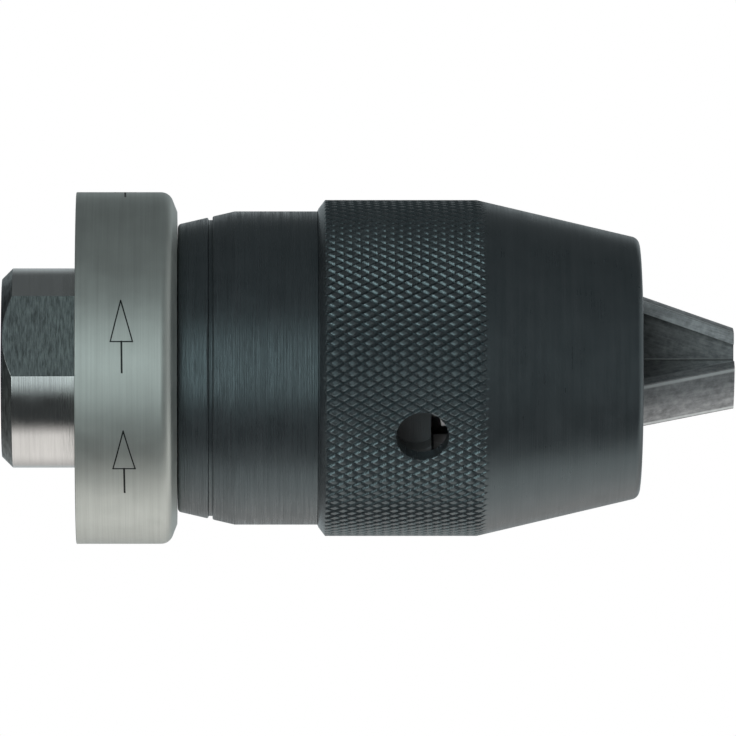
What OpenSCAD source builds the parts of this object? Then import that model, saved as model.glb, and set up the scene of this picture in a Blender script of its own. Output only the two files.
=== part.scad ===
// Keyless self-tightening drill chuck.
// The chuck axis is +X with the jaws at the +X end, +Z is up, and the origin is
// the centre of the hub's rear face. Lengths are in millimetres. The jaws are
// drawn closed.

/* [Clamping] */
// Largest shank that the jaws take
capacity = 10; // [8:0.5:13]
// How far the closed jaws stand out of the nose
jaw_reach = 12; // [8:0.5:14]
// Length of a jaw along the chuck axis, with its tail
jaw_len = 24; // [22:0.5:30]
// Tangent of the angle between the jaws and the axis
jaw_slope = 0.349; // [0.3:0.005:0.42]
// Turn of the first jaw from straight up
jaw_turn = 3.4; // [-30:0.2:30]

/* [Jaw] */
// Width of a jaw's web
web_w = 4; // [3:0.1:5]
// Width of a jaw's head
head_w = 6.3; // [5.4:0.1:7.5]
// Distance from the axis to the underside of the head, at the tip
head_low = 3.16; // [2.6:0.02:3.6]
// Distance from the axis to the edges of the head, at the tip
head_edge = 4.6; // [4:0.05:5.5]
// Distance from the axis to the crown of the head, at the tip
head_top = 5.13; // [4.6:0.01:6.2]
// Length of the V-shaped gripping faces
grip_len = 16; // [12:0.5:17]

/* [Hub and holding ring] */
// Diameter of the hub
hub_d = 25.5; // [22:0.1:28]
// Length of the hub behind the holding ring
hub_len = 9.5; // [6:0.1:16]
// Chamfer at the hub's rear edge
hub_chamfer = 1.4; // [0.5:0.1:2.5]
// Distance across the two spanner flats
flats_af = 23; // [19:0.5:25]
// Turn of the first flat from straight up
flats_turn = 69.4; // [0:0.2:90]
// Diameter of the spindle thread, a half inch
thread_d = 12.7; // [10:0.1:14]
// Depth of the spindle thread
thread_depth = 15; // [12:0.5:16]
// Diameter of the holding ring
ring_d = 45; // [42:0.5:54]
// Length of the holding ring
ring_len = 12.9; // [10:0.1:16]
// Radius that rounds the holding ring's front edge
ring_round = 1.6; // [0.5:0.1:3]

/* [Sleeve] */
// Length of the closing ring
closing_len = 3.6; // [3:0.1:6]
// Width of the groove in front of the closing ring
groove_w = 0.6; // [0.4:0.1:1]
// Depth of that groove
groove_depth = 0.4; // [0.2:0.1:0.6]
// Diameter of the rear sleeve
rear_d = 40.1; // [39.4:0.1:44]
// Length of the rear sleeve
rear_len = 13.4; // [13:0.1:18]
// Length of the cone on the rear sleeve, from the groove
rear_cone_len = 2.85; // [1:0.05:8]
// Slope of the cone on the closing ring and rear sleeve
rear_slope = 0.231; // [0.1:0.001:0.3]
// Diameter of the knurled sleeve
sleeve_d = 43; // [42.4:0.2:56]
// Length of the chamfer behind the knurl
knurl_chamfer = 1; // [0.5:0.1:2]
// Length of the knurl
knurl_len = 19.4; // [15:0.1:26]
// Length of the smooth nose cone
nose_len = 20.8; // [18:0.1:26]
// Slope of the nose cone
nose_slope = 0.235; // [0.15:0.005:0.25]
// Radius at the front edge of the nose
nose_round = 1.1; // [0.5:0.1:2]
// Diameter of the pin spanner hole in the knurl
spanner_d = 6.5; // [3:0.1:8]
// Distance from the knurl's rear edge to the spanner hole
spanner_place = 12.1; // [6:0.1:14]
// Turn of the spanner hole from straight up
spanner_turn = 114; // [90:1:150]
// Depth of the spot face in the jaw guide under the spanner hole
spot_depth = 0.6; // [0.4:0.1:1]
// Depth of the blind hole in that spot face, from the sleeve's bore
under_depth = 3; // [1.5:0.5:4]
// How far the blind hole lies behind the spanner hole
under_shift = 0.8; // [0:0.1:2]

/* [Drive] */
// Diameter of the journal that the rear sleeve runs on
journal_d = 29.2; // [28.4:0.1:29.6]
// Diameter of the feed screw's shaft
screw_d = 16; // [12:0.5:18]
// Diameter of the feed screw's flange
flange_d = 24; // [22:0.5:25]
// Diameter of the bearing balls
ball_d = 2.38; // [2:0.02:2.5]
// Thickness of the bearing races
race_t = 1.2; // [1:0.1:1.5]

/* [Fits] */
// Radial gap of a running fit
run_gap = 0.05; // [0.02:0.01:0.1]
// Gap between pieces that are fixed together
seat_gap = 0.02; // [0.01:0.01:0.04]
// Gap at the ends of pieces that turn past each other
end_gap = 0.3; // [0.2:0.05:0.5]

/* [Hidden] */
$fn = 96;
ball_count = 12;
back_tilt = atan(jaw_slope);
travel = capacity / 2 / jaw_slope;

// Stations along the axis, from the rear
ring_x = hub_len;
ring_end = ring_x + ring_len;
closing_x = ring_end + end_gap;
groove_x = closing_x + closing_len;
rear_x = groove_x + groove_w;
front_x = rear_x + rear_len;
knurl_x = front_x + knurl_chamfer;
knurl_end = knurl_x + knurl_len;
nose_x = knurl_end + nose_len;
tip_x = nose_x + jaw_reach;

// Radii
hub_r = hub_d / 2;
seat_r = journal_d / 2 - 0.1;
journal_r = journal_d / 2;
ring_r = ring_d / 2;
rear_r = rear_d / 2;
sleeve_r = sleeve_d / 2;
cone_r = rear_r - rear_slope * rear_cone_len;
closing_r = cone_r - rear_slope * (rear_x - closing_x);
bore_r = head_top + jaw_slope * jaw_len + capacity / 2 + 0.5;
flange_r = flange_d / 2;
guide_bore_r = flange_r + 0.3;
pilot_r = guide_bore_r - run_gap;
spot_r = (spanner_d + 0.4) / 2;

// Thrust bearing
ball_r = ball_d / 2;
ball_gap = 0.03;
groove_deep = 0.3;
race_space = 2 * (ball_r + ball_gap - groove_deep);
hood_bore_r = rear_r - 1.85;
race_low = journal_r + 0.2;
race_top = hood_bore_r - 0.2;
ball_circle = (race_low + race_top) / 2;
neck_len = 2.1;
floor_t = 2.2;
race_rear_x = rear_x + neck_len + floor_t + seat_gap;
ball_x = race_rear_x + race_t + race_space / 2;
race_front_x = race_rear_x + race_t + race_space;
cage_t = 1.3;
thrust_x = race_front_x + race_t + seat_gap;
thrust_end = front_x - 1.3;

// Closing ring's neck and the snap ring that holds it in the rear sleeve
neck_r = race_top - 1;
snap_r = 0.45;
snap_x = rear_x + neck_len / 2;

// Jaws, with the hooks that the feed screw moves them by
tail_x = tip_x - jaw_len;
hook_len = 2.2;
neck_gap = 0.1;
lip_t = 1.4;
hook_end = tail_x + hook_len;
head_x = hook_end + lip_t + 2 * neck_gap + 0.2;
hook_neck_w = web_w * 0.6;
hook_low = web_w * 0.8;
hook_top = head_low + jaw_slope * (tip_x - head_x) + 0.8;
web_deep = (head_low + jaw_slope * grip_len) * cos(back_tilt);
head_t = (head_top - head_low) * cos(back_tilt);
edge_t = (head_edge - head_low) * cos(back_tilt);
crown_rise = head_t - edge_t;
crown_r = (head_w * head_w / 4 + crown_rise * crown_rise) / (2 * crown_rise);
jaw_gap = 0.06;

// Jaw guide
guide_x = thrust_end + end_gap;
guide_end = nose_x - 0.2;
guide_wall_x = hook_end + neck_gap + lip_t + 0.5;
guide_cone_x = knurl_end - 3;
guide_step_x = guide_wall_x + 1.2;
guide_nose_r = head_top + jaw_slope * (tip_x - guide_step_x) + 1.5;
guide_step_r = guide_nose_r + 1.5;
slot_x = tail_x - travel - 0.6;
slot_cover_x = slot_x + 3.4;
shank_r = capacity / 2 + 0.3;

// Feed screw
flange_x = tail_x - neck_gap - 2.4;
flange_end = hook_end + neck_gap + lip_t;
screw_r = screw_d / 2;
screw_seat_x = thread_depth + 3;
screw_x = screw_seat_x + travel + 0.4;
body_end = flange_x - travel - 0.5;

// Points of an arc about a centre, in the plane of a turned outline
function arc(centre, r, from, to, steps = 8) =
    [for (i = [0:steps]) let (a = from + (to - from) * i / steps) centre + r * [cos(a), sin(a)]];

// Turns an outline of [radius, place along the axis] about the chuck axis
module turned(outline) {
    rotate([90, 0, 90])
        rotate_extrude()
            polygon(outline);
}

// Turns a piece drawn straight up to one of the three jaw places
module at_jaw(i) {
    rotate([jaw_turn + 120 * (i - 1), 0, 0])
        children();
}

// The frame that the jaws slide in: +X forward and inward, +Z outward, with the
// origin under the head at the closed tip
module inclined() {
    translate([tip_x, 0, head_low])
        rotate([0, back_tilt, 0])
            children();
}

// Round space that a raceway leaves for the balls
module raceway() {
    translate([ball_x, 0, 0])
        rotate([90, 0, 90])
            rotate_extrude()
                translate([ball_circle, 0])
                    circle(r = ball_r + ball_gap);
}

// Drawing round wire rings and their grooves
module wire_ring(r) {
    translate([snap_x, 0, 0])
        rotate([90, 0, 90])
            rotate_extrude()
                translate([neck_r, 0])
                    circle(r = r);
}

// Hub, ring seat, journal, thrust shoulder and pilot in one turned piece
module body() {
    color("silver")
        difference() {
            turned([
                [0, 0],
                [hub_r - hub_chamfer, 0],
                [hub_r, hub_chamfer],
                [hub_r, ring_x + 1],
                [seat_r, ring_x + 1],
                [seat_r, ring_end],
                [journal_r, ring_end],
                [journal_r, thrust_x],
                [race_top, thrust_x],
                [race_top, thrust_end],
                [pilot_r, thrust_end],
                [pilot_r, body_end - 0.5],
                [pilot_r - 0.5, body_end],
                [0, body_end]
            ]);
            rotate([0, 90, 0])
                translate([0, 0, -1])
                    cylinder(r = thread_d / 2, h = thread_depth + 1);
            rotate([0, 90, 0])
                translate([0, 0, screw_seat_x])
                    cylinder(r = screw_r + run_gap, h = body_end);
            for (side = [0, 180])
                rotate([flats_turn + side, 0, 0])
                    translate([-1, -hub_r, flats_af / 2])
                        cube([ring_x + 1, hub_d, hub_r]);
        }
}

// Ring that is held while the sleeve is turned, pressed on the body
module holding_ring() {
    bevel = 68;
    round_centre = [ring_r - ring_round, ring_end - 0.6 - ring_round * sin(bevel)];
    color("lightgray")
        turned(concat(
            [
                [hub_r + 0.05, ring_x],
                [ring_r - 0.15, ring_x],
                [ring_r, ring_x + 0.15]
            ],
            arc(round_centre, ring_round, 0, bevel),
            [
                [ring_r - ring_round * (1 - cos(bevel)) - 0.6 * tan(bevel), ring_end],
                [seat_r + seat_gap, ring_end],
                [seat_r + seat_gap, ring_x + 1],
                [hub_r + 0.05, ring_x + 1]
            ]
        ));
}

// Front race, on the body's thrust shoulder
module race_front() {
    color("gray")
        difference() {
            turned([
                [race_low, race_front_x],
                [race_top, race_front_x],
                [race_top, race_front_x + race_t],
                [race_low, race_front_x + race_t]
            ]);
            raceway();
        }
}

// Rear race, on the floor of the rear sleeve
module race_rear() {
    color("gray")
        difference() {
            turned([
                [race_low, race_rear_x],
                [race_top, race_rear_x],
                [race_top, race_rear_x + race_t],
                [race_low, race_rear_x + race_t]
            ]);
            raceway();
        }
}

// Ring that closes the rear of the sleeve, with a neck inside the rear sleeve
module closing_ring() {
    groove_r = cone_r - groove_depth;
    color("dimgray")
        difference() {
            turned([
                [journal_r + run_gap, closing_x],
                [closing_r, closing_x],
                [closing_r + rear_slope * closing_len, groove_x],
                [groove_r, groove_x],
                [groove_r, rear_x - seat_gap],
                [neck_r, rear_x - seat_gap],
                [neck_r, rear_x + neck_len - seat_gap],
                [journal_r + run_gap, rear_x + neck_len - seat_gap]
            ]);
            wire_ring(snap_r + seat_gap);
        }
}

// Round wire ring that locks the closing ring in the rear sleeve
module snap_ring() {
    color("gray")
        wire_ring(snap_r);
}

// Rear sleeve, the hood over the thrust bearing
module rear_sleeve() {
    color("dimgray")
        difference() {
            turned([
                [neck_r + seat_gap, rear_x],
                [cone_r, rear_x],
                [rear_r, rear_x + rear_cone_len],
                [rear_r, front_x],
                [hood_bore_r, front_x],
                [hood_bore_r, rear_x + neck_len + floor_t],
                [journal_r + run_gap, rear_x + neck_len + floor_t],
                [journal_r + run_gap, rear_x + neck_len],
                [neck_r + seat_gap, rear_x + neck_len]
            ]);
            wire_ring(snap_r + seat_gap);
        }
}

// Knurled sleeve and nose cone in one piece, screwed on the jaw guide
module front_sleeve() {
    nose_tilt = atan(nose_slope);
    nose_r = sleeve_r - nose_slope * nose_len;
    edge_centre = [
        nose_r - nose_round * (1 - sin(nose_tilt)) / cos(nose_tilt),
        nose_x - nose_round
    ];
    color("dimgray")
        difference() {
            turned(concat(
                [
                    [bore_r, front_x + seat_gap],
                    [rear_r + 0.15, front_x + seat_gap],
                    [sleeve_r, knurl_x],
                    [sleeve_r, knurl_end]
                ],
                arc(edge_centre, nose_round, nose_tilt, 90),
                [
                    [guide_nose_r, nose_x],
                    [guide_nose_r, guide_step_x],
                    [guide_step_r, guide_step_x],
                    [bore_r, guide_cone_x]
                ]
            ));
            translate([knurl_x + spanner_place, 0, 0])
                rotate([spanner_turn, 0, 0])
                    cylinder(d = spanner_d, h = ring_d);
        }
}

// One inclined T-slot, which a jaw slides in, with a pocket over its rear end
module jaw_slot() {
    web_half = web_w / 2 + run_gap;
    head_half = head_w / 2 + run_gap;
    intersection() {
        inclined()
            union() {
                translate([-100, -web_half, -40])
                    cube([120, 2 * web_half, 40.5]);
                translate([-100, -head_half, -run_gap])
                    cube([120, 2 * head_half, head_t + 2 * run_gap]);
            }
        translate([slot_x, -10, 0])
            cube([100, 20, 40]);
    }
    translate([slot_x, -head_half, guide_bore_r + 2])
        cube([slot_cover_x - slot_x, 2 * head_half, 20]);
}

// Guide that carries the jaws in three inclined T-slots
module jaw_guide() {
    spigot_r = hood_bore_r - seat_gap;
    color("gray")
        difference() {
            turned([
                [guide_bore_r, guide_x],
                [spigot_r, guide_x],
                [spigot_r, front_x + 1.7],
                [bore_r - seat_gap, front_x + 1.7],
                [bore_r - seat_gap, guide_cone_x],
                [guide_step_r - seat_gap, guide_step_x - seat_gap],
                [guide_nose_r - seat_gap, guide_step_x - seat_gap],
                [guide_nose_r - seat_gap, guide_end - 0.3],
                [guide_nose_r - 0.3, guide_end],
                [shank_r + 0.4, guide_end],
                [shank_r, guide_end - 0.4],
                [shank_r, guide_wall_x],
                [guide_bore_r, guide_wall_x]
            ]);
            for (i = [1:3])
                at_jaw(i)
                    jaw_slot();
            translate([knurl_x + spanner_place, 0, 0])
                rotate([spanner_turn, 0, 0]) {
                    translate([0, 0, bore_r - spot_depth])
                        cylinder(r = spot_r, h = ring_d);
                    translate([-under_shift, 0, bore_r - under_depth])
                        cylinder(d = spanner_d, h = ring_d);
                }
        }
}

// Place of one ball on the ball circle
module at_ball(i) {
    translate([ball_x, 0, 0])
        rotate([360 / ball_count * (i - 0.5), 0, 0])
            translate([0, 0, ball_circle])
                children();
}

// Cage that keeps the balls apart
module ball_cage() {
    color("goldenrod")
        difference() {
            turned([
                [race_low + 0.05, ball_x - cage_t / 2],
                [race_top - 0.05, ball_x - cage_t / 2],
                [race_top - 0.05, ball_x + cage_t / 2],
                [race_low + 0.05, ball_x + cage_t / 2]
            ]);
            for (i = [1:ball_count])
                at_ball(i)
                    rotate([0, 90, 0])
                        cylinder(r = ball_r + run_gap, h = 2 * cage_t, center = true);
        }
}

// One bearing ball
module ball(i) {
    color("silver")
        at_ball(i)
            sphere(r = ball_r);
}

// Radial T-slot in the feed screw's flange, which a jaw's hook slides in
module hook_slot() {
    neck_half = hook_neck_w / 2 + neck_gap;
    hook_half = web_w / 2 + neck_gap;
    translate([tail_x - neck_gap, -hook_half, hook_low - 0.3])
        cube([hook_len + 2 * neck_gap, 2 * hook_half, flange_d]);
    translate([tail_x, -neck_half, hook_low - 0.3])
        cube([flange_d, 2 * neck_half, flange_d]);
}

// Screw with a left-hand thread in the body, which moves the jaws
module feed_screw() {
    color("gray")
        difference() {
            turned([
                [0, screw_x],
                [screw_r - 0.6, screw_x],
                [screw_r, screw_x + 0.6],
                [screw_r, flange_x],
                [flange_r - 0.4, flange_x],
                [flange_r, flange_x + 0.4],
                [flange_r, flange_end],
                [0, flange_end]
            ]);
            for (i = [1:3])
                at_jaw(i)
                    hook_slot();
        }
}

// One jaw: a T-shaped bar with V-shaped gripping faces and a hooked tail
module jaw(i) {
    color("slategray")
        at_jaw(i) {
            intersection() {
                inclined()
                    union() {
                        translate([-60, -web_w / 2, -web_deep])
                            cube([80, web_w, web_deep + 0.5]);
                        intersection() {
                            translate([-60, -head_w / 2, 0])
                                cube([80, head_w, head_t + 1]);
                            translate([-60, 0, head_t - crown_r])
                                rotate([0, 90, 0])
                                    cylinder(r = crown_r, h = 80);
                        }
                    }
                translate([head_x, 0, 0])
                    rotate([90, 0, 90])
                        linear_extrude(tip_x - head_x)
                            polygon([[0, jaw_gap], [-40 * tan(60), 40 + jaw_gap], [40 * tan(60), 40 + jaw_gap]]);
            }
            translate([tail_x, -web_w / 2, hook_low])
                cube([hook_len, web_w, hook_top - hook_low]);
            translate([tail_x, -hook_neck_w / 2, hook_low])
                cube([head_x - tail_x + 0.5, hook_neck_w, hook_top - hook_low]);
        }
}

module jaw_1() { jaw(1); }
module jaw_2() { jaw(2); }
module jaw_3() { jaw(3); }

body();
holding_ring();
race_front();
closing_ring();
snap_ring();
rear_sleeve();
race_rear();
front_sleeve();
jaw_guide();
ball_cage();
for (i = [1:ball_count])
    ball(i);
feed_screw();
jaw_1();
jaw_2();
jaw_3();
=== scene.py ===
"""Looks of a keyless drill chuck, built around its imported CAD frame.

The chuck's axis is X with the jaws at +X, and Z is up. Lengths are in metres.
"""

import math

import bmesh
import bpy
import numpy as np
from mathutils import Matrix, Vector


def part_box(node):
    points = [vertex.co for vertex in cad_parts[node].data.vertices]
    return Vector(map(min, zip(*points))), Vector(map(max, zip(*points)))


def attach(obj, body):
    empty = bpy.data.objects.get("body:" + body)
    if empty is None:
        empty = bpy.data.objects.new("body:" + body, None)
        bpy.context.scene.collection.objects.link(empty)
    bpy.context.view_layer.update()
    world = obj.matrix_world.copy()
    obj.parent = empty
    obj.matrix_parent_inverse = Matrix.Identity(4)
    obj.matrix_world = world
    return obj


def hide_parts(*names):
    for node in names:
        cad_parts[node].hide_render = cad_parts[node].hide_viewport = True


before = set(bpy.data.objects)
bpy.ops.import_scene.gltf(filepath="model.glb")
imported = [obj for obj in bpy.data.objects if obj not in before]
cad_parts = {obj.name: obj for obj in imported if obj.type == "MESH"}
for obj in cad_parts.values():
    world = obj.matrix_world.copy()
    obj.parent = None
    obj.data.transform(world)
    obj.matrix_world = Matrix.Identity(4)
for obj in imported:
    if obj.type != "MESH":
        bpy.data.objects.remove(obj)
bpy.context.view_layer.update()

MM = 0.001
TURNS = 256  # columns of a turned piece
BALLS = 12

# Places along the axis and radii, from the frame
HUB_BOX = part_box("body")
RING_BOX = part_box("holding_ring")
CLOSING_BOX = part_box("closing_ring")
REAR_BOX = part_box("rear_sleeve")
FRONT_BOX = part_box("front_sleeve")

HUB_END = HUB_BOX[1].x
RING_X, RING_END, RING_R = RING_BOX[0].x, RING_BOX[1].x, RING_BOX[1].z
CLOSING_END = CLOSING_BOX[1].x
REAR_X, FRONT_X, REAR_R = REAR_BOX[0].x, REAR_BOX[1].x, REAR_BOX[1].z
NOSE_X, SLEEVE_R = FRONT_BOX[1].x, FRONT_BOX[1].z
TIP_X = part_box("jaw_1")[1].x

# Sizes that the boxes don't give, as in the design
HUB_R = 12.75 * MM
HUB_CHAMFER = 1.4 * MM
FLATS_HALF = 11.5 * MM
FLATS_TURN = math.radians(69.4)
THREAD_R = 6.35 * MM
THREAD_BORE_R = THREAD_R * 0.9
THREAD_DEPTH = 15 * MM
THREAD_PITCH = 1.27 * MM
SEAT_R = 14.5 * MM
JOURNAL_R = 14.6 * MM
JOURNAL_CLEAR_R = JOURNAL_R + 0.05 * MM
PILOT_R = 12.25 * MM
THRUST_X, THRUST_END = 35.41 * MM, 39.0 * MM
SCREW_SEAT_X = 18 * MM
SCREW_SEAT_R = 8.05 * MM
GROOVE_W = 0.6 * MM
GROOVE_DEEP = 0.45 * MM
REAR_CONE_LEN = 2.85 * MM
REAR_SLOPE = 0.231
REAR_CONE_R = REAR_R - REAR_SLOPE * REAR_CONE_LEN
NECK_R = 17.0 * MM
HOOD_BORE_R = 18.2 * MM
THRUST_R = HOOD_BORE_R - 0.2 * MM
NECK_LEN = 2.1 * MM
FLOOR_T = 2.2 * MM
BORE_R = 19.0 * MM
BORE_END = 58 * MM
NOSE_BORE_R = 13.07 * MM
NOSE_STEP_X = 75.4 * MM
NOSE_STEP = 1.5 * MM
KNURL_CHAMFER = 1.0 * MM
KNURL_LEN = 19.4 * MM
KNURL_DEEP = 0.27 * MM
KNURL_CROSS = 0.21 * MM
NOSE_SLOPE = 0.235
NOSE_ROUND = 1.1 * MM
SPANNER_X = 53.4 * MM
SPANNER_R = 3.25 * MM
SPANNER_TURN = math.radians(114)
JAW_TURN = math.radians(3.4)
JAW_SLOPE = 0.349
HEAD_HALF = 3.15 * MM  # half of the width of a jaw's head
HEAD_LOW = 3.16 * MM  # underside of a jaw's head from the axis, at the tip


# ---------------------------------------------------------------- meshes


def rounded(corners, steps=6):
    """Points of an outline of (x, r, radius) corners, each rounded by its radius."""
    points = []
    for i, (x, r, radius) in enumerate(corners):
        here = Vector((x, r))
        if radius <= 0:
            points.append(here)
            continue
        before = Vector(corners[i - 1][:2]) - here
        after = Vector(corners[(i + 1) % len(corners)][:2]) - here
        half = before.angle(after) / 2
        reach = min(radius / math.tan(half), 0.45 * before.length, 0.45 * after.length)
        radius = reach * math.tan(half)
        inward = (before.normalized() + after.normalized()).normalized()
        centre = here + inward * (radius / math.sin(half))
        start = here + before.normalized() * reach - centre
        end = here + after.normalized() * reach - centre
        turn = start.angle_signed(end)
        for k in range(steps + 1):
            points.append(centre + Matrix.Rotation(-turn * k / steps, 2) @ start)
    return points


def new_object(name, data):
    """An object of the scene that holds a mesh, a camera or a light."""
    piece = bpy.data.objects.new(name, data)
    bpy.context.scene.collection.objects.link(piece)
    return piece


def shade(mesh, sharp):
    """Smooth shading, with edges sharper than so many degrees kept crisp."""
    for face in mesh.polygons:
        face.use_smooth = True
    mesh.set_sharp_from_angle(angle=math.radians(sharp))


def fill_outward(bm, mesh):
    """Writes the faces into the mesh with their normals turned outward."""
    bmesh.ops.recalc_face_normals(bm, faces=bm.faces)
    bm.to_mesh(mesh)
    bm.free()


def turned(name, outline, closed=True, turns=TURNS, sharp=30):
    """A solid turned about X from an outline of (x, r). An open outline ends on the axis."""
    mesh = bpy.data.meshes.new(name)
    bm = bmesh.new()
    rows = []
    for x, r in outline:
        if r < 1e-9:
            rows.append([bm.verts.new((x, 0, 0))])
            continue
        row = []
        for k in range(turns):
            a = 2 * math.pi * k / turns
            row.append(bm.verts.new((x, -r * math.sin(a), r * math.cos(a))))
        rows.append(row)
    pairs = list(zip(rows, rows[1:]))
    if closed:
        pairs.append((rows[-1], rows[0]))
    for low, high in pairs:
        for k in range(turns):
            n = (k + 1) % turns
            if len(low) == 1:
                bm.faces.new((low[0], high[n], high[k]))
            elif len(high) == 1:
                bm.faces.new((low[k], low[n], high[0]))
            else:
                bm.faces.new((low[k], low[n], high[n], high[k]))
    fill_outward(bm, mesh)
    shade(mesh, sharp)
    return new_object(name, mesh)


def swept(name, rows):
    """A closed solid through rows of points, all of one length, with an end face at each end."""
    mesh = bpy.data.meshes.new(name)
    bm = bmesh.new()
    rings = [[bm.verts.new(point) for point in row] for row in rows]
    count = len(rings[0])
    for low, high in zip(rings, rings[1:]):
        for i in range(count):
            n = (i + 1) % count
            bm.faces.new((low[i], low[n], high[n], high[i]))
    bm.faces.new(rings[0])
    bm.faces.new(rings[-1])
    fill_outward(bm, mesh)
    return new_object(name, mesh)


def cut(piece, cutter):
    """Takes the cutter out of the piece and removes the cutter."""
    modifier = piece.modifiers.new("cut", "BOOLEAN")
    modifier.operation = "DIFFERENCE"
    modifier.solver = "MANIFOLD"
    modifier.object = cutter
    bpy.context.view_layer.update()
    graph = bpy.context.evaluated_depsgraph_get()
    result = bpy.data.meshes.new_from_object(piece.evaluated_get(graph))
    piece.modifiers.remove(modifier)
    old = piece.data
    piece.data = result
    bpy.data.meshes.remove(old)
    bpy.data.objects.remove(cutter)


def block(name, low, high, matrix):
    """A block between two corners, moved by a matrix, used as a cutter."""
    mesh = bpy.data.meshes.new(name)
    bm = bmesh.new()
    bmesh.ops.create_cube(bm, size=1)
    for v in bm.verts:
        v.co = Vector(low) + Vector([(c + 0.5) * (h - l) for c, l, h in zip(v.co, low, high)])
    bmesh.ops.transform(bm, matrix=matrix, verts=bm.verts)
    bm.to_mesh(mesh)
    bm.free()
    return new_object(name, mesh)


def soften(piece, width, segments, angle):
    """Bevels the edges that are sharper than so many degrees."""
    edges = piece.modifiers.new("edges", "BEVEL")
    edges.width = width
    edges.segments = segments
    edges.limit_method = "ANGLE"
    edges.angle_limit = math.radians(angle)
    return edges


# ---------------------------------------------------------------- materials

FACE_SHARE = 0.7  # share of the radius in turning marks, so that end faces get rings too

# The guide's painted light changes here along the axis, under and in front of the spanner hole
HOLE_SPLIT = (54.95 * MM, 55.0 * MM)
HOLE_FADE = (60 * MM, 62 * MM)


class Surface:
    """A Principled material and short ways to add nodes to it."""

    def __init__(self, name, colour, metallic, roughness):
        self.material = bpy.data.materials.new(name)
        self.material.use_nodes = True
        self.tree = self.material.node_tree
        self.shader = self.tree.nodes["Principled BSDF"]
        self.shader.inputs["Base Color"].default_value = (*colour, 1)
        self.shader.inputs["Metallic"].default_value = metallic
        self.shader.inputs["Roughness"].default_value = roughness

    def node(self, kind, **settings):
        made = self.tree.nodes.new(kind)
        for key, value in settings.items():
            setattr(made, key, value)
        return made

    def link(self, source, target):
        """Links a socket, or sets a plain value."""
        if hasattr(source, "bl_idname"):
            self.tree.links.new(source, target)
        else:
            target.default_value = source

    def math(self, operation, a, b=0.0, clamp=False):
        made = self.node("ShaderNodeMath", operation=operation, use_clamp=clamp)
        self.link(a, made.inputs[0])
        self.link(b, made.inputs[1])
        return made.outputs[0]

    def plus(self, a, b, clamp=False):
        return self.math("ADD", a, b, clamp)

    def times(self, a, b, clamp=False):
        return self.math("MULTIPLY", a, b, clamp)

    def joined(self, x, y, z):
        """A vector of three numbers."""
        made = self.node("ShaderNodeCombineXYZ")
        for source, socket in zip((x, y, z), made.inputs):
            self.link(source, socket)
        return made.outputs[0]

    def axes(self):
        """The point's object coordinates, whole and as x, y and z."""
        place = self.node("ShaderNodeTexCoord").outputs["Object"]
        parts = self.node("ShaderNodeSeparateXYZ")
        self.link(place, parts.inputs[0])
        return place, parts.outputs[0], parts.outputs[1], parts.outputs[2]

    def from_axis(self, y, z):
        """Distance from the chuck's axis."""
        return self.math("SQRT", self.plus(self.times(y, y), self.times(z, z)))

    def round_axis(self, along, around):
        """Coordinates for marks that run round the chuck's axis."""
        _, x, y, z = self.axes()
        radius = self.from_axis(y, z)
        lengthwise = self.plus(x, self.times(radius, FACE_SHARE))
        return self.joined(
            self.times(lengthwise, along),
            self.times(self.math("DIVIDE", y, radius), around),
            self.times(self.math("DIVIDE", z, radius), around),
        )

    def noise(self, where, scale, detail, rough):
        made = self.node("ShaderNodeTexNoise")
        self.link(where, made.inputs["Vector"])
        made.inputs["Scale"].default_value = scale
        made.inputs["Detail"].default_value = detail
        made.inputs["Roughness"].default_value = rough
        return made.outputs["Fac"]

    def spread(self, value, low, high, to_low=0.0, to_high=1.0):
        """Maps the stretch from low to high onto another one, and holds its ends."""
        made = self.node("ShaderNodeMapRange")
        self.link(value, made.inputs[0])
        for socket, number in zip(made.inputs[1:5], (low, high, to_low, to_high)):
            socket.default_value = number
        return made.outputs[0]

    def mix(self, factor, a, b):
        """A colour between two colours."""
        made = self.node("ShaderNodeMix", data_type="RGBA")
        self.link(factor, made.inputs[0])
        for colour, socket in ((a, made.inputs[6]), (b, made.inputs[7])):
            if isinstance(colour, tuple):
                socket.default_value = (*colour, 1)
            else:
                self.link(colour, socket)
        return made.outputs[2]

    def between(self, factor, a, b):
        """A number between two numbers."""
        made = self.node("ShaderNodeMix", data_type="FLOAT")
        self.link(factor, made.inputs[0])
        self.link(a, made.inputs[2])
        self.link(b, made.inputs[3])
        return made.outputs[0]

    def dimmed(self, colour, level):
        """A colour multiplied by a number."""
        made = self.node("ShaderNodeMix", data_type="RGBA", blend_type="MULTIPLY")
        made.inputs[0].default_value = 1
        self.link(colour, made.inputs[6])
        self.link(self.joined(level, level, level), made.inputs[7])
        return made.outputs[2]

    def colour(self, source):
        self.link(source, self.shader.inputs["Base Color"])

    def roughness(self, source):
        self.link(source, self.shader.inputs["Roughness"])

    def bump(self, height, distance, under=None):
        """A bumped normal, on top of another one if that is given."""
        made = self.node("ShaderNodeBump")
        made.inputs["Strength"].default_value = 1
        made.inputs["Distance"].default_value = distance
        self.link(height, made.inputs["Height"])
        if under is not None:
            self.link(under, made.inputs["Normal"])
        return made.outputs["Normal"]

    def normal(self, source):
        self.link(source, self.shader.inputs["Normal"])


def rubbed_lands(s, place, base):
    """Paler patches on the highest parts of the knurl."""
    edge = s.node("ShaderNodeAttribute", attribute_name="land").outputs["Fac"]
    patches = s.spread(s.noise(place, 1800, 3, 0.7), 0.5, 0.7)
    rubbed = s.times(s.spread(edge, 0.75, 1.0), patches, clamp=True)
    return s.mix(s.times(rubbed, 0.4), base, (0.15, 0.17, 0.17))


def paint_hole_light(s, x, base):
    """Painted light: two paler tones on the guide behind the nose, as seen through the spanner
    hole, in place of light that reaches into the hole.
    """
    inside = s.mix(s.spread(x, *HOLE_SPLIT), (0.095, 0.087, 0.087), (0.62, 0.57, 0.57))
    return s.mix(s.spread(x, *HOLE_FADE, 1, 0), base, inside)


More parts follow.
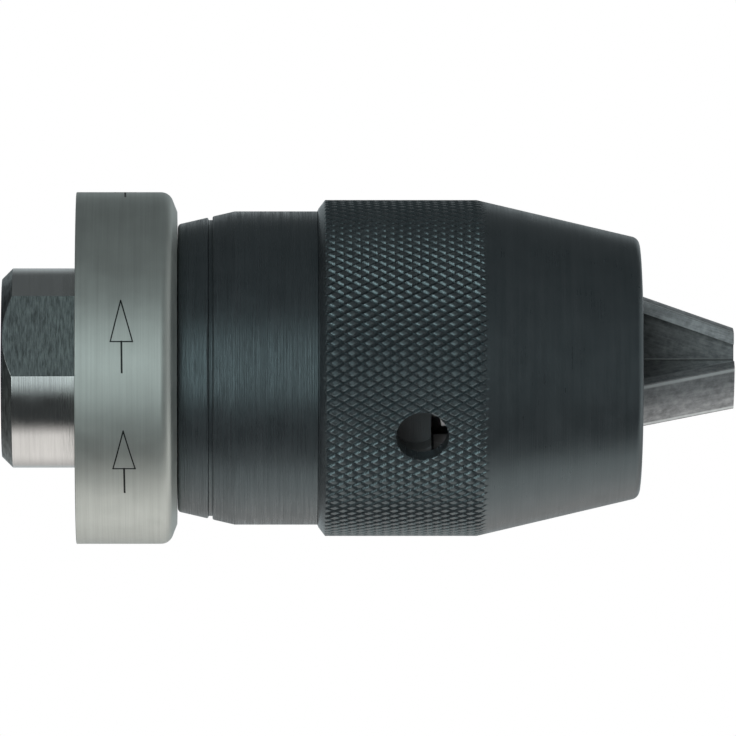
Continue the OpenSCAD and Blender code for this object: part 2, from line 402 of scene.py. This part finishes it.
def black_oxide(name, ior=1.78, rough=0.31, lines=1.0, worn=False, painted_hole_light=False):
    """Blackened steel with the marks of turning, and paler edges where it is worn."""
    s = Surface(name, (0.03, 0.038, 0.042), 0.0, rough)
    s.shader.inputs["IOR"].default_value = ior
    s.shader.inputs["Specular Tint"].default_value = (0.76, 1.0, 1.05, 1)
    place, x, _, _ = s.axes()
    fine = s.noise(s.round_axis(6500, 1.6), 1, 3, 0.7)
    broad = s.noise(s.round_axis(1700, 0.9), 1, 2, 0.6)
    cloud = s.noise(place, 260, 4, 0.55)
    grain = s.noise(place, 9000, 3, 0.65)
    tone = s.plus(s.spread(broad, 0.3, 0.7, 0, 0.6), s.spread(cloud, 0.3, 0.7, 0, 0.5))
    dark, pale = (0.026, 0.029, 0.032), (0.047, 0.05, 0.054)
    base = s.mix(s.times(tone, 0.9, clamp=True), dark, pale)
    if worn:
        base = rubbed_lands(s, place, base)
    # Painted light on the guide where it is seen through the spanner hole.
    if painted_hole_light:
        base = paint_hole_light(s, x, base)
    s.colour(base)
    line = s.spread(fine, 0.35, 0.68, -0.09 * lines, 0.14 * lines)
    s.roughness(s.plus(s.spread(cloud, 0.25, 0.75, rough - 0.04, rough + 0.06), line))
    s.normal(s.bump(grain, 5e-6, under=s.bump(fine, 6e-5 * lines)))
    return s.material


def turned_steel(name, colour, roughness, streak, marks=0.35, metallic=1.0):
    """Bare turned steel: fine lines round the axis, faint clouds and small nicks."""
    s = Surface(name, colour, metallic, roughness)
    place = s.axes()[0]
    fine = s.noise(s.round_axis(12000, 1.6), 1, 3, 0.65)
    band = s.noise(s.round_axis(2200, 0.8), 1, 2, 0.5)
    cloud = s.noise(place, 300, 4, 0.6)
    nicks = s.noise(place, 2600, 5, 0.7)
    darker = tuple(c * 0.78 for c in colour)
    tone = s.plus(s.spread(fine, 0.3, 0.7, 0, 0.45), s.spread(band, 0.3, 0.7, 0, 0.4))
    tone = s.plus(tone, s.spread(cloud, 0.35, 0.7, 0, marks), clamp=True)
    s.colour(s.mix(tone, darker, colour))
    low, high = roughness - 0.05, roughness + 0.07
    s.roughness(s.plus(s.spread(cloud, 0.3, 0.7, low, high), s.spread(nicks, 0.62, 0.75, 0, 0.08)))
    s.normal(s.bump(nicks, 4e-6, under=s.bump(fine, streak)))
    return s.material


def milled_and_shaded_steel(name):
    """A milled flat with broken streaks across the chuck's axis, darker partly from its milling and
    partly by painted shade; the hub's rear chamfer gets it as painted shade.
    """
    s = Surface(name, (0.2, 0.22, 0.22), 1.0, 0.38)
    place, x, y, z = s.axes()
    streak = s.noise(s.joined(s.times(x, 5200), s.times(y, 650), s.times(z, 650)), 1, 4, 0.7)
    cloud = s.noise(place, 420, 3, 0.6)
    s.colour(s.mix(s.spread(streak, 0.35, 0.65), (0.15, 0.17, 0.17), (0.4, 0.46, 0.46)))
    s.roughness(s.spread(cloud, 0.3, 0.7, 0.3, 0.45))
    s.normal(s.bump(streak, 4e-5))
    return s.material


def jaw_places(s, x, y, z):
    """The three jaws folded onto one that stands up from the axis.

    Gives the angle about the axis from that jaw, the distance from the axis, and the height
    in the jaw, which leans as the jaw does.
    """
    turn = s.math("ARCTAN2", s.times(y, -1), z)
    third = 2 * math.pi / 3
    shifted = s.plus(turn, math.pi / 3 - JAW_TURN)
    folded = s.math("SUBTRACT", s.math("FLOORED_MODULO", shifted, third), math.pi / 3)
    radius = s.from_axis(y, z)
    lean = s.times(s.math("SUBTRACT", TIP_X, x), -JAW_SLOPE)
    height = s.plus(s.times(radius, s.math("COSINE", folded)), lean)
    return folded, radius, height


def painted_highlight_strip(s, radius, aside):
    """1 in a narrow strip along each side of a jaw's head, which gets a painted highlight."""
    across = s.times(radius, s.math("SINE", aside))
    inner = s.spread(across, HEAD_HALF - 0.62 * MM, HEAD_HALF - 0.45 * MM)
    outer = s.spread(across, HEAD_HALF - 0.2 * MM, HEAD_HALF - 0.12 * MM, 1, 0)
    return s.times(inner, outer)


def painted_web_shade(s, x, height, folded):
    """Painted shade on a jaw's web, as a brightness: lowest at the nose and under the head, and
    raised on one side by painted light.
    """
    from_nose = s.spread(x, NOSE_X, TIP_X, 0.5, 1.5)
    near_line = s.spread(height, HEAD_LOW - 0.7 * MM, HEAD_LOW - 0.05 * MM, 1, 0.6)
    one_side = s.spread(folded, -0.05, 0.05, 3.2, 1)
    return s.times(s.times(from_nose, near_line), one_side)


def jaw_steel(name):
    """Ground jaw: pale streaked head with a painted highlight along its sides, a web below it
    darkened by painted shade, and even gripping faces.
    """
    s = Surface(name, (0.2, 0.21, 0.21), 0.55, 0.36)
    place, x, y, z = s.axes()
    folded, radius, height = jaw_places(s, x, y, z)
    drawn = s.joined(s.times(x, 160), s.times(height, 3000), s.times(folded, 9))
    streak = s.noise(drawn, 1, 4, 0.65)
    mottle = s.noise(place, 900, 6, 0.68)
    speck = s.noise(place, 5200, 4, 0.7)
    blotches = s.spread(mottle, 0.36, 0.66, 0, 0.6)
    tone = s.plus(blotches, s.spread(streak, 0.35, 0.7, 0, 0.55), clamp=True)
    head = s.mix(tone, (0.17, 0.18, 0.185), (0.4, 0.42, 0.43))
    # Painted shade: the web is coloured darker than the head, and is dimmed further at the nose and
    # under the head.
    web = s.mix(tone, (0.07, 0.075, 0.08), (0.17, 0.18, 0.18))
    aside = s.math("ABSOLUTE", folded)
    # Painted highlight: a pale strip along each side of the head, where its chamfer catches the
    # light.
    head = s.mix(s.times(painted_highlight_strip(s, radius, aside), 0.7), head, (0.75, 0.8, 0.8))
    is_head = s.spread(height, HEAD_LOW - 0.1 * MM, HEAD_LOW + 0.05 * MM)
    # Painted shade and painted light on the web; the head keeps full brightness.
    level = s.between(is_head, painted_web_shade(s, x, height, folded), 1)
    whole = s.dimmed(s.mix(is_head, web, head), level)
    is_grip = s.spread(aside, math.radians(55), math.radians(59))
    s.colour(s.mix(is_grip, whole, (0.26, 0.27, 0.27)))
    s.roughness(s.plus(s.spread(mottle, 0.3, 0.7, 0.5, 0.32), s.spread(speck, 0.6, 0.75, 0, 0.1)))
    s.normal(s.bump(speck, 8e-6, under=s.bump(streak, 1.6e-5)))
    return s.material


def plain_metal(name, colour, roughness, grain=3e-6):
    """Inner pieces: even metal with a fine grain and faint clouds."""
    s = Surface(name, colour, 1.0, roughness)
    place = s.axes()[0]
    cloud = s.noise(place, 500, 4, 0.6)
    s.colour(s.mix(s.spread(cloud, 0.3, 0.7), tuple(c * 0.8 for c in colour), colour))
    s.roughness(s.spread(cloud, 0.3, 0.7, roughness - 0.05, roughness + 0.08))
    s.normal(s.bump(s.noise(s.round_axis(9000, 2), 1, 3, 0.6), grain))
    return s.material


BLACK = black_oxide("black_oxide")
BLACK_NOSE = black_oxide("black_oxide_nose", lines=0.35)
BLACK_LAND = black_oxide("black_oxide_land", ior=1.7, rough=0.34, lines=0.4, worn=True)
BLACK_FLANK = black_oxide("black_oxide_flank", ior=2.05, rough=0.18, lines=0.4, worn=True)
RING_STEEL = turned_steel("ring_steel", (0.63, 0.675, 0.64), 0.46, 1.1e-5, metallic=0.85)
HUB_STEEL = turned_steel("hub_steel", (0.63, 0.64, 0.63), 0.18, 1.5e-5, marks=0.2)
MILLED_AND_SHADED_STEEL = milled_and_shaded_steel("milled_flat_and_painted_shade")
JAW_STEEL = jaw_steel("jaw_steel")
GUIDE_STEEL = black_oxide("guide_oxide", ior=1.7, rough=0.36, painted_hole_light=True)
RACE_STEEL = plain_metal("race_steel", (0.56, 0.57, 0.58), 0.2)
BALL_STEEL = plain_metal("ball_steel", (0.72, 0.73, 0.74), 0.07, 5e-7)
BRASS = plain_metal("cage_brass", (0.66, 0.47, 0.2), 0.3)
MARK = plain_metal("engraved_line", (0.05, 0.055, 0.055), 0.5)


def finish(piece, body, slot, *materials, replaces=None):
    """Gives a rebuilt piece even normals, its materials and its body."""
    even = piece.modifiers.new("normals", "WEIGHTED_NORMAL")
    even.keep_sharp = True
    piece.data.materials.clear()
    for m in materials:
        piece.data.materials.append(m)
    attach(piece, body)
    if replaces:
        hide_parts(replaces)


# ---------------------------------------------------------------- hub


def hub_outline():
    """Half section of the hub, from the bottom of its thread to the screw's seat."""
    fillet = 0.12 * MM
    corners = [
        (THREAD_DEPTH, THREAD_BORE_R, 0),
        (0.9 * MM, THREAD_BORE_R, 0),
        (0, THREAD_R + 0.35 * MM, fillet),
        (0, HUB_R - HUB_CHAMFER, fillet),
        (HUB_CHAMFER, HUB_R, fillet),
        (RING_X + MM, HUB_R, 0),
        (RING_X + MM, SEAT_R, 0),
        (RING_END, SEAT_R, 0),
        (RING_END, JOURNAL_R, 0),
        (THRUST_X, JOURNAL_R, 0),
        (THRUST_X, THRUST_R, 0),
        (THRUST_END, THRUST_R, 0),
        (THRUST_END, PILOT_R, 0),
        (HUB_END - 0.5 * MM, PILOT_R, 0),
        (HUB_END, PILOT_R - 0.5 * MM, 0),
        (HUB_END, SCREW_SEAT_R, 0),
        (SCREW_SEAT_X, SCREW_SEAT_R, 0),
    ]
    return [Vector((THREAD_DEPTH, 0))] + rounded(corners) + [Vector((SCREW_SEAT_X, 0))]


def mark_flats(piece):
    """Gives the flats the milled finish, and the rear chamfer its dark colour as painted shade."""
    normal = Matrix.Rotation(FLATS_TURN, 3, "X") @ Vector((0, 0, 1))
    for face in piece.data.polygons:
        outward = Vector((0, face.center.y, face.center.z))
        # The rear chamfer takes the dark milled material as painted shade.
        chamfered = -0.9 < face.normal.x < -0.5 and outward.length > HUB_R - HUB_CHAMFER
        on_flat = abs(abs(face.center.dot(normal)) - FLATS_HALF) < 0.02 * MM
        facing = abs(face.normal.dot(normal)) > 0.999
        if chamfered or (on_flat and facing and face.center.x < RING_X):
            face.material_index = 1


def hub():
    """Hub with its flats, seat, journal and shoulder, and the screw seat inside."""
    piece = turned("hub_body", hub_outline(), closed=False, sharp=18)
    for side in (0, math.pi):
        turn = Matrix.Rotation(FLATS_TURN + side, 4, "X")
        low = (-MM, -HUB_R, FLATS_HALF)
        high = (RING_X, HUB_R, HUB_R + MM)
        cut(piece, block("flat_cutter", low, high, turn))
    shade(piece.data, 18)
    finish(piece, "chuck_body", "bright_steel", HUB_STEEL, MILLED_AND_SHADED_STEEL, replaces="body")
    mark_flats(piece)
    edges = soften(piece, 0.1 * MM, 2, 19)
    edges.material = 0
    piece.modifiers.move(1, 0)  # the edges come before the normals


def thread():
    """Thread ridge in the hub's bore, which fades in and out at its ends."""
    steps = 64  # points in one turn
    count = int((THREAD_DEPTH - 1.2 * MM) / THREAD_PITCH * steps)
    top, root = THREAD_BORE_R + 0.02 * MM, THREAD_BORE_R - 0.5 * MM
    section = [(-0.55, top), (-0.1, root), (0.1, root), (0.55, top)]
    rows = []
    for k in range(count + 1):
        a = 2 * math.pi * k / steps
        x = 1.3 * MM + THREAD_PITCH * k / steps
        fade = min(1, k / steps * 2, (count - k) / steps * 2)
        row = []
        for along, r in section:
            r = top + (r - top) * max(fade, 0.05)
            row.append((x + along * THREAD_PITCH, r * math.sin(a), r * math.cos(a)))
        rows.append(row)
    piece = swept("spindle_thread_ridge", rows)
    shade(piece.data, 35)
    finish(piece, "chuck_body", "bright_steel", HUB_STEEL)


# ---------------------------------------------------------------- holding ring

ARROWS = ((15.43 * MM, 90), (15.74 * MM, 132.9))  # x, and degrees from straight up to the front
ARROW_HALF = 1.4 * MM
ARROW_DEEP = 0.12 * MM
THIN_LINE = 0.17 * MM
THICK_LINE = 0.24 * MM


def stroke(start, end, width):
    """A closed bar wrapped round the ring between two (x, angle) points, used as a cutter."""
    a = Vector((start[0], start[1] * RING_R))
    b = Vector((end[0], end[1] * RING_R))
    along = (b - a).normalized()
    side = Vector((-along.y, along.x)) * width / 2
    a -= along * width / 2
    b += along * width / 2
    low, high = RING_R - ARROW_DEEP, RING_R + MM
    steps = max(2, int((b - a).length / (0.7 * MM)))
    rows = []
    for k in range(steps + 1):
        middle = a.lerp(b, k / steps)
        row = []
        for sign, r in ((-1, low), (1, low), (1, high), (-1, high)):
            spot = middle + side * sign
            angle = spot.y / RING_R
            row.append((spot.x, -r * math.sin(angle), r * math.cos(angle)))
        rows.append(row)
    return swept("stroke", rows)


def cut_arrow(piece, x, at):
    """An outlined head and a thicker stem, which points up where it faces the camera."""
    base, tip = at - math.radians(8.5), at - math.radians(22.2)
    top = (x - 0.1 * MM, tip)
    left, middle, right = (x - ARROW_HALF, base), (x, base), (x + ARROW_HALF, base)
    end = (x + 0.05 * MM, at + math.radians(1.4))
    for start, stop in ((left, top), (right, top), (left, right)):
        cut(piece, stroke(start, stop, THIN_LINE))
    cut(piece, stroke(middle, end, THICK_LINE))


def ring_outline():
    """Section of the ring, whose front edge rounds over into a steep bevel."""
    bevel = math.radians(68)
    ring_round = 1.6 * MM
    bevel_x = RING_END - 0.6 * MM
    centre = Vector((bevel_x - ring_round * math.sin(bevel), RING_R - ring_round))
    edge = [
        centre + ring_round * Vector((math.sin(bevel * k / 10), math.cos(bevel * k / 10)))
        for k in range(11)
    ]
    last_r = edge[-1].y - (RING_END - bevel_x) * math.tan(bevel)
    back = rounded(
        [
            (RING_END, last_r, 0.12 * MM),
            (RING_END, SEAT_R + 0.02 * MM, 0),
            (RING_X + MM, SEAT_R + 0.02 * MM, 0),
            (RING_X + MM, HUB_R + 0.05 * MM, 0),
            (RING_X, HUB_R + 0.05 * MM, 0),
            (RING_X, RING_R, 0.12 * MM),
            (edge[0].x, RING_R, 0),
        ]
    )
    return edge + back[:-1]


def holding_ring():
    """Silver ring with engraved arrows that point the way it is held to open the chuck."""
    piece = turned("ring_marked", ring_outline(), sharp=25)
    for x, turn in ARROWS:
        for third in (0, 120, 240):
            cut_arrow(piece, x, math.radians(turn + third))
    shade(piece.data, 25)
    finish(piece, "chuck_body", "brushed_steel", RING_STEEL, MARK, replaces="holding_ring")
    for face in piece.data.polygons:
        r = math.hypot(face.center.y, face.center.z)
        outside = RING_X + 2 * MM < face.center.x < RING_END - 3 * MM
        if outside and SEAT_R + MM < r < RING_R - 0.03 * MM:
            face.material_index = 1


# ---------------------------------------------------------------- rear of the sleeve


def closing_ring():
    """Rear ring of the sleeve, which closes it up to the holding ring."""
    start = RING_END + 0.07 * MM
    groove_x = REAR_X - GROOVE_W
    groove_r = REAR_CONE_R - GROOVE_DEEP
    lip_x = REAR_X + 0.03 * MM
    outline = rounded(
        [
            (start, JOURNAL_CLEAR_R, 0),
            (start, REAR_CONE_R - REAR_SLOPE * (REAR_X - start), 0.5 * MM),
            (groove_x, REAR_CONE_R - REAR_SLOPE * GROOVE_W, 0.3 * MM),
            (groove_x + 0.12 * MM, groove_r, 0.05 * MM),
            (lip_x, groove_r, 0),
            (lip_x, NECK_R + 0.05 * MM, 0),
            (CLOSING_END, NECK_R, 0),
            (CLOSING_END, JOURNAL_CLEAR_R, 0),
        ]
    )
    finish(turned("ring_closing", outline), "sleeve", "black_steel", BLACK, replaces="closing_ring")


def rear_sleeve():
    """Plain rear part of the sleeve, with a short cone at its rear."""
    neck_x = REAR_X + NECK_LEN
    neck_r = NECK_R + 0.02 * MM
    outline = rounded(
        [
            (REAR_X, neck_r, 0),
            (REAR_X, REAR_CONE_R, 0.28 * MM),
            (REAR_X + REAR_CONE_LEN, REAR_R, 0.4 * MM),
            (FRONT_X, REAR_R, 0.08 * MM),
            (FRONT_X, HOOD_BORE_R, 0),
            (neck_x + FLOOR_T, HOOD_BORE_R, 0),
            (neck_x + FLOOR_T, JOURNAL_CLEAR_R, 0),
            (neck_x, JOURNAL_CLEAR_R, 0),
            (neck_x, neck_r, 0),
        ]
    )
    finish(turned("sleeve_rear", outline), "sleeve", "black_steel", BLACK, replaces="rear_sleeve")


# ---------------------------------------------------------------- knurled sleeve

KNURL_ROUND = 106  # diamonds round the sleeve
KNURL_ALONG = 9  # diamonds along it
KNURL_STEPS = 8  # mesh steps across one diamond
KNURL_X = FRONT_X + KNURL_CHAMFER
KNURL_END = KNURL_X + KNURL_LEN
COLUMNS = KNURL_ROUND * KNURL_STEPS
KNURL_ROWS = KNURL_ALONG * KNURL_STEPS
KNURL_STEP = KNURL_LEN / KNURL_ROWS


def groove_depth(t, deep):
    """Depth of one family of grooves: steep near its middle, with eased shoulders."""
    away = np.abs(t - np.round(t))
    return deep * np.interp(away, [0, 0.125, 0.25], [1, 0.32, 0])


def sleeve_outline():
    """Section of the sleeve, and how many of its points come before two places.

    The places are the start of the knurl and the end of its runout in the nose cone.
    """
    nose_tilt = math.atan(NOSE_SLOPE)
    nose_r = SLEEVE_R - NOSE_SLOPE * (NOSE_X - KNURL_END)
    edge_r = nose_r - NOSE_ROUND * (1 - math.sin(nose_tilt)) / math.cos(nose_tilt)
    chamfer_r = REAR_R + 0.15 * MM
    chamfer_slope = (SLEEVE_R - chamfer_r) / (KNURL_X - FRONT_X)
    rise = [
        (KNURL_X - d * MM, SLEEVE_R - d * MM * chamfer_slope)
        for d in (0.85, 0.4, 0.3, 0.24, 0.18, 0.12, 0.06)
    ]
    knurl = [(KNURL_X + KNURL_STEP * j, SLEEVE_R) for j in range(KNURL_ROWS + 1)]
    runout = [
        (KNURL_END + KNURL_STEP * j, SLEEVE_R - NOSE_SLOPE * KNURL_STEP * j)
        for j in range(1, 6)
    ]
    edge = [
        (NOSE_X - NOSE_ROUND + NOSE_ROUND * math.sin(a), edge_r + NOSE_ROUND * math.cos(a))
        for a in np.linspace(nose_tilt, math.pi / 2, 7)
    ]
    bore_x = FRONT_X + 0.02 * MM
    inner = rounded(
        [
            (NOSE_X, NOSE_BORE_R, 0.15 * MM),
            (NOSE_STEP_X, NOSE_BORE_R, 0),
            (NOSE_STEP_X, NOSE_BORE_R + NOSE_STEP, 0),
            (BORE_END, BORE_R, 0),
            (bore_x, BORE_R, 0),
            (bore_x, chamfer_r, 0.06 * MM),
        ],
        steps=2,
    )
    outline = np.array(rise + knurl + runout + edge + [tuple(p) for p in inner])
    return outline, len(rise), len(rise) + len(knurl) + len(runout)


def sleeve_faces(rows, first, last):
    """Faces between the rows. Cells before the last grooved row are split along their groove."""
    steps = np.arange(KNURL_STEPS) / KNURL_STEPS
    rising = groove_depth(steps, KNURL_DEEP)[:, None]
    falling = groove_depth(steps, KNURL_CROSS)[None, :]
    split_rising = rising >= falling
    faces = []
    for j in range(rows):
        down, up = j * COLUMNS, ((j + 1) % rows) * COLUMNS
        for i in range(COLUMNS):
            n = (i + 1) % COLUMNS
            a, b, c, d = down + i, down + n, up + n, up + i
            if j >= last:
                faces.append((a, b, c, d))
            elif split_rising[(i + j - first + 1) % KNURL_STEPS, (i - j + first) % KNURL_STEPS]:
                faces += [(a, b, d), (b, c, d)]
            else:
                faces += [(a, b, c), (a, c, d)]
    return faces


def sleeve_mesh():
    """The sleeve's mesh with its knurl.

    The attribute "land" falls from 1 on the tops of the diamonds to 0 at the bottom of the
    deeper grooves, and is 0 off the knurl.
    """
    outline, first, last = sleeve_outline()
    angle = np.arange(COLUMNS) * 2 * math.pi / COLUMNS
    x = np.repeat(outline[:, 0][:, None], COLUMNS, 1)
    r = np.repeat(outline[:, 1][:, None], COLUMNS, 1)
    round_t = angle[None, :] * KNURL_ROUND / (2 * math.pi)
    along_t = (x - KNURL_X) * KNURL_ALONG / KNURL_LEN
    rising = groove_depth(round_t + along_t, KNURL_DEEP)
    falling = groove_depth(round_t - along_t, KNURL_CROSS)
    deep = np.maximum(rising, falling)
    on_knurl = np.zeros(r.shape, bool)
    on_knurl[:last] = True
    r = np.where(on_knurl, np.minimum(r, SLEEVE_R - deep), r)
    land = np.where(on_knurl, 1 - deep / KNURL_DEEP, 0).ravel().astype(np.float32)
    points = np.stack([x, -r * np.sin(angle), r * np.cos(angle)], -1).reshape(-1, 3)
    mesh = bpy.data.meshes.new("sleeve_knurled")
    mesh.from_pydata(points.tolist(), [], sleeve_faces(len(outline), first, last))
    mesh.attributes.new("land", "FLOAT", "POINT").data.foreach_set("value", land)
    mesh.update()
    bm = bmesh.new()
    bm.from_mesh(mesh)
    fill_outward(bm, mesh)
    return mesh


def spanner_cutter():
    """Cutter of the radial hole for a pin spanner, a little wider at its mouth."""
    half = (SLEEVE_R - BORE_R) * 0.5
    mouth_r = SPANNER_R + 0.1 * MM
    outline = [
        (-half * 4, 0),
        (-half * 4, SPANNER_R),
        (half - 0.35 * MM, SPANNER_R),
        (half - 0.1 * MM, mouth_r),
        (half + 0.3 * MM, mouth_r),
        (half + 0.3 * MM, 0),
    ]
    hole = turned("hole_cutter", outline, closed=False, turns=96)
    hole.data.transform(
        Matrix.Translation((SPANNER_X, 0, 0))
        @ Matrix.Rotation(SPANNER_TURN, 4, "X")
        @ Matrix.Translation((0, 0, SLEEVE_R - half))
        @ Matrix.Rotation(-math.pi / 2, 4, "Y")
    )
    return hole


def front_sleeve():
    """Sleeve with a diamond knurl cut in its surface, a chamfer, a nose cone and a bore."""
    piece = new_object("sleeve_knurled", sleeve_mesh())
    cut(piece, spanner_cutter())
    shade(piece.data, 24)
    blacks = (BLACK_NOSE, BLACK_LAND, BLACK_FLANK)
    finish(piece, "sleeve", "black_steel", *blacks, replaces="front_sleeve")
    for face in piece.data.polygons:
        outward = Vector((0, face.center.y, face.center.z))
        if outward.length > BORE_R + MM and face.center.x < KNURL_END + 0.7 * MM:
            face.material_index = 1 if face.normal.dot(outward.normalized()) > 0.93 else 2


# ---------------------------------------------------------------- CAD pieces that stay


def dress(node, material, edge=0.1 * MM):
    """A CAD node with softened edges and a finish."""
    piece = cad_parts[node]
    piece.data.materials.clear()
    piece.data.materials.append(material)
    if edge:
        soften(piece, edge, 3, 28)


hub()
thread()
holding_ring()
closing_ring()
rear_sleeve()
front_sleeve()
dress("jaw_guide", GUIDE_STEEL, 0.08 * MM)
dress("feed_screw", GUIDE_STEEL)
for i in (1, 2, 3):
    dress(f"jaw_{i}", JAW_STEEL, 0.14 * MM)
for race in ("race_front", "race_rear"):
    dress(race, RACE_STEEL, 0.05 * MM)
dress("snap_ring", RACE_STEEL, 0)
dress("ball_cage", BRASS, 0.04 * MM)
for i in range(1, BALLS + 1):
    dress(f"ball_{i}", BALL_STEEL, 0)


# ---------------------------------------------------------------- studio

scene = bpy.context.scene
scene.view_settings.view_transform = "Standard"

CENTRE_X = 46.8 * MM
VIEW_WIDTH = 94.2 * MM
CAMERA_X = 27.2 * MM
CAMERA_AWAY = 1.35
FLOOR_Z = -0.3
FLOOR_SIZE = 4
BOX_STRENGTH = 5.5


def camera():
    """A distant camera in front of the chuck, a little towards the hub, as in the photo."""
    data = bpy.data.cameras.new("camera")
    data.sensor_width = 36
    data.lens = data.sensor_width * CAMERA_AWAY / VIEW_WIDTH
    data.clip_start = 0.05
    data.clip_end = 50
    made = new_object("camera", data)
    made.location = (CAMERA_X, -CAMERA_AWAY, 0)
    aim = Vector((CENTRE_X, 0, 0)) - made.location
    made.rotation_euler = aim.to_track_quat("-Z", "Y").to_euler()
    scene.camera = made


def floor():
    """A plain pale floor well below the chuck, clear when it is seen from below."""
    mesh = bpy.data.meshes.new("floor")
    bm = bmesh.new()
    bmesh.ops.create_grid(bm, x_segments=1, y_segments=1, size=FLOOR_SIZE)
    bm.to_mesh(mesh)
    bm.free()
    made = new_object("floor", mesh)
    made.location.z = FLOOR_Z
    s = Surface("floor_pale", (0.86, 0.86, 0.86), 0.0, 0.7)
    clear = s.node("ShaderNodeBsdfTransparent").outputs[0]
    under = s.node("ShaderNodeNewGeometry").outputs["Backfacing"]
    both = s.node("ShaderNodeMixShader")
    s.link(under, both.inputs[0])
    s.link(s.shader.outputs[0], both.inputs[1])
    s.link(clear, both.inputs[2])
    s.link(both.outputs[0], s.tree.nodes["Material Output"].inputs[0])
    mesh.materials.append(s.material)
    made.visible_glossy = False


class Sky:
    """Studio surroundings made of ramps in the direction looked at."""

    def __init__(self):
        self.world = bpy.data.worlds.new("studio")
        self.world.use_nodes = True
        self.tree = self.world.node_tree
        parts = self.node("ShaderNodeSeparateXYZ")
        self.link(self.node("ShaderNodeTexCoord").outputs["Generated"], parts.inputs[0])
        front = self.math("MULTIPLY", parts.outputs[1], -1)
        angle = self.math("ARCTAN2", parts.outputs[2], front)
        self.turn = self.math("ADD", self.math("MULTIPLY", angle, 0.5 / math.pi), 0.5)
        self.along = self.math("ADD", self.math("MULTIPLY", parts.outputs[0], 0.5), 0.5)

    def node(self, kind):
        return self.tree.nodes.new(kind)

    def link(self, source, target):
        self.tree.links.new(source, target)

    def math(self, operation, a, b):
        made = self.node("ShaderNodeMath")
        made.operation = operation
        for value, socket in ((a, made.inputs[0]), (b, made.inputs[1])):
            if isinstance(value, (int, float)):
                socket.default_value = value
            else:
                self.link(value, socket)
        return made.outputs[0]

    def ramp(self, factor, stops):
        """A colour ramp of (place, level, tint) stops."""
        made = self.node("ShaderNodeValToRGB")
        self.link(factor, made.inputs[0])
        points = made.color_ramp.elements
        while len(points) > 1:
            points.remove(points[0])
        for k, (place, level, tint) in enumerate(stops):
            point = points[0] if k == 0 else points.new(place)
            point.position = place
            point.color = (*(level * c for c in tint), 1)
        return made.outputs[0]

    def by_turn(self, stops):
        """Brightness by the angle about the chuck's axis, from the front upwards."""
        return self.ramp(self.turn, [((a + 180) / 360, level, tint) for a, level, tint in stops])

    def by_axis(self, stops):
        """Brightness by how far the direction leans to the jaws (1) or to the hub (-1)."""
        return self.ramp(self.along, [((x + 1) / 2, level, (1, 1, 1)) for x, level in stops])

    def mixed(self, blend, a, b):
        made = self.node("ShaderNodeMix")
        made.data_type = "RGBA"
        made.blend_type = blend
        made.inputs[0].default_value = 1
        self.link(a, made.inputs[6])
        self.link(b, made.inputs[7])
        return made.outputs[2]

    def background(self, colour=None, strength=1.0):
        """A background shader, coloured by a ramp or plain white."""
        made = self.node("ShaderNodeBackground")
        made.inputs[0].default_value = (1, 1, 1, 1)
        made.inputs[1].default_value = strength
        if colour is not None:
            self.link(colour, made.inputs[0])
        return made.outputs[0]


def soft_box(sky):
    """The cool box at the front, which leans to the hub."""
    cool = (0.91, 1.03, 1.04)
    turn = sky.by_turn([(-33, 0, cool), (-16, 0.4, cool), (14, 0.4, cool), (40, 0, cool)])
    along = sky.by_axis(
        [(-0.63, 0.02), (-0.54, 1.25), (-0.4, 1.25), (-0.25, 0.6), (0, 0.27), (0.26, 0.0)]
    )
    return sky.mixed("MULTIPLY", turn, along)


def surroundings(sky):
    """The warm field below, dim flags between, and weak light at both ends."""
    warm, dusk = (1.04, 0.99, 0.96), (0.93, 1.02, 1.05)
    turn = sky.by_turn(
        [
            (-179, 0.5, dusk),
            (-166, 0.6, dusk),
            (-150, 0.6, warm),
            (-124, 1.12, warm),
            (-85, 1.12, warm),
            (-67, 0.05, dusk),
            (-36, 0.05, dusk),
            (-20, 0.12, dusk),
            (40, 0.14, dusk),
            (140, 0.12, dusk),
            (158, 0.45, dusk),
            (179, 0.5, dusk),
        ]
    )
    along = sky.by_axis([(-0.9, 0.1), (-0.7, 0.15), (-0.44, 0.65), (0, 1), (0.55, 1), (0.8, 0.6)])
    ends = sky.by_axis([(-1, 0.05), (-0.9, 0.02), (0.7, 0), (0.9, 0.5)])
    return sky.mixed("ADD", sky.mixed("MULTIPLY", turn, along), ends)


def light_tent():
    """Lights the chuck from all round, and shows the camera a plain white background."""
    sky = Sky()
    scene.world = sky.world
    lit = sky.node("ShaderNodeAddShader")
    sky.link(sky.background(surroundings(sky)), lit.inputs[0])
    sky.link(sky.background(soft_box(sky), BOX_STRENGTH), lit.inputs[1])
    choose = sky.node("ShaderNodeMixShader")
    sky.link(sky.node("ShaderNodeLightPath").outputs["Is Camera Ray"], choose.inputs[0])
    sky.link(lit.outputs[0], choose.inputs[1])
    sky.link(sky.background(), choose.inputs[2])
    sky.link(choose.outputs[0], sky.tree.nodes["World Output"].inputs[0])


def floor_light():
    """Soft light from above that reaches only the floor, as bare metal has no matt side."""
    data = bpy.data.lights.new("floor_light", "SUN")
    data.energy = 2.0
    data.angle = math.radians(50)
    made = new_object("floor_light", data)
    made.rotation_euler = (math.radians(12), math.radians(-8), 0)
    made.visible_glossy = False
    only = bpy.data.collections.new("floor_only")
    only.objects.link(bpy.data.objects["floor"])
    made.light_linking.receiver_collection = only


camera()
floor()
light_tent()
floor_light()

bpy.context.view_layer.update()
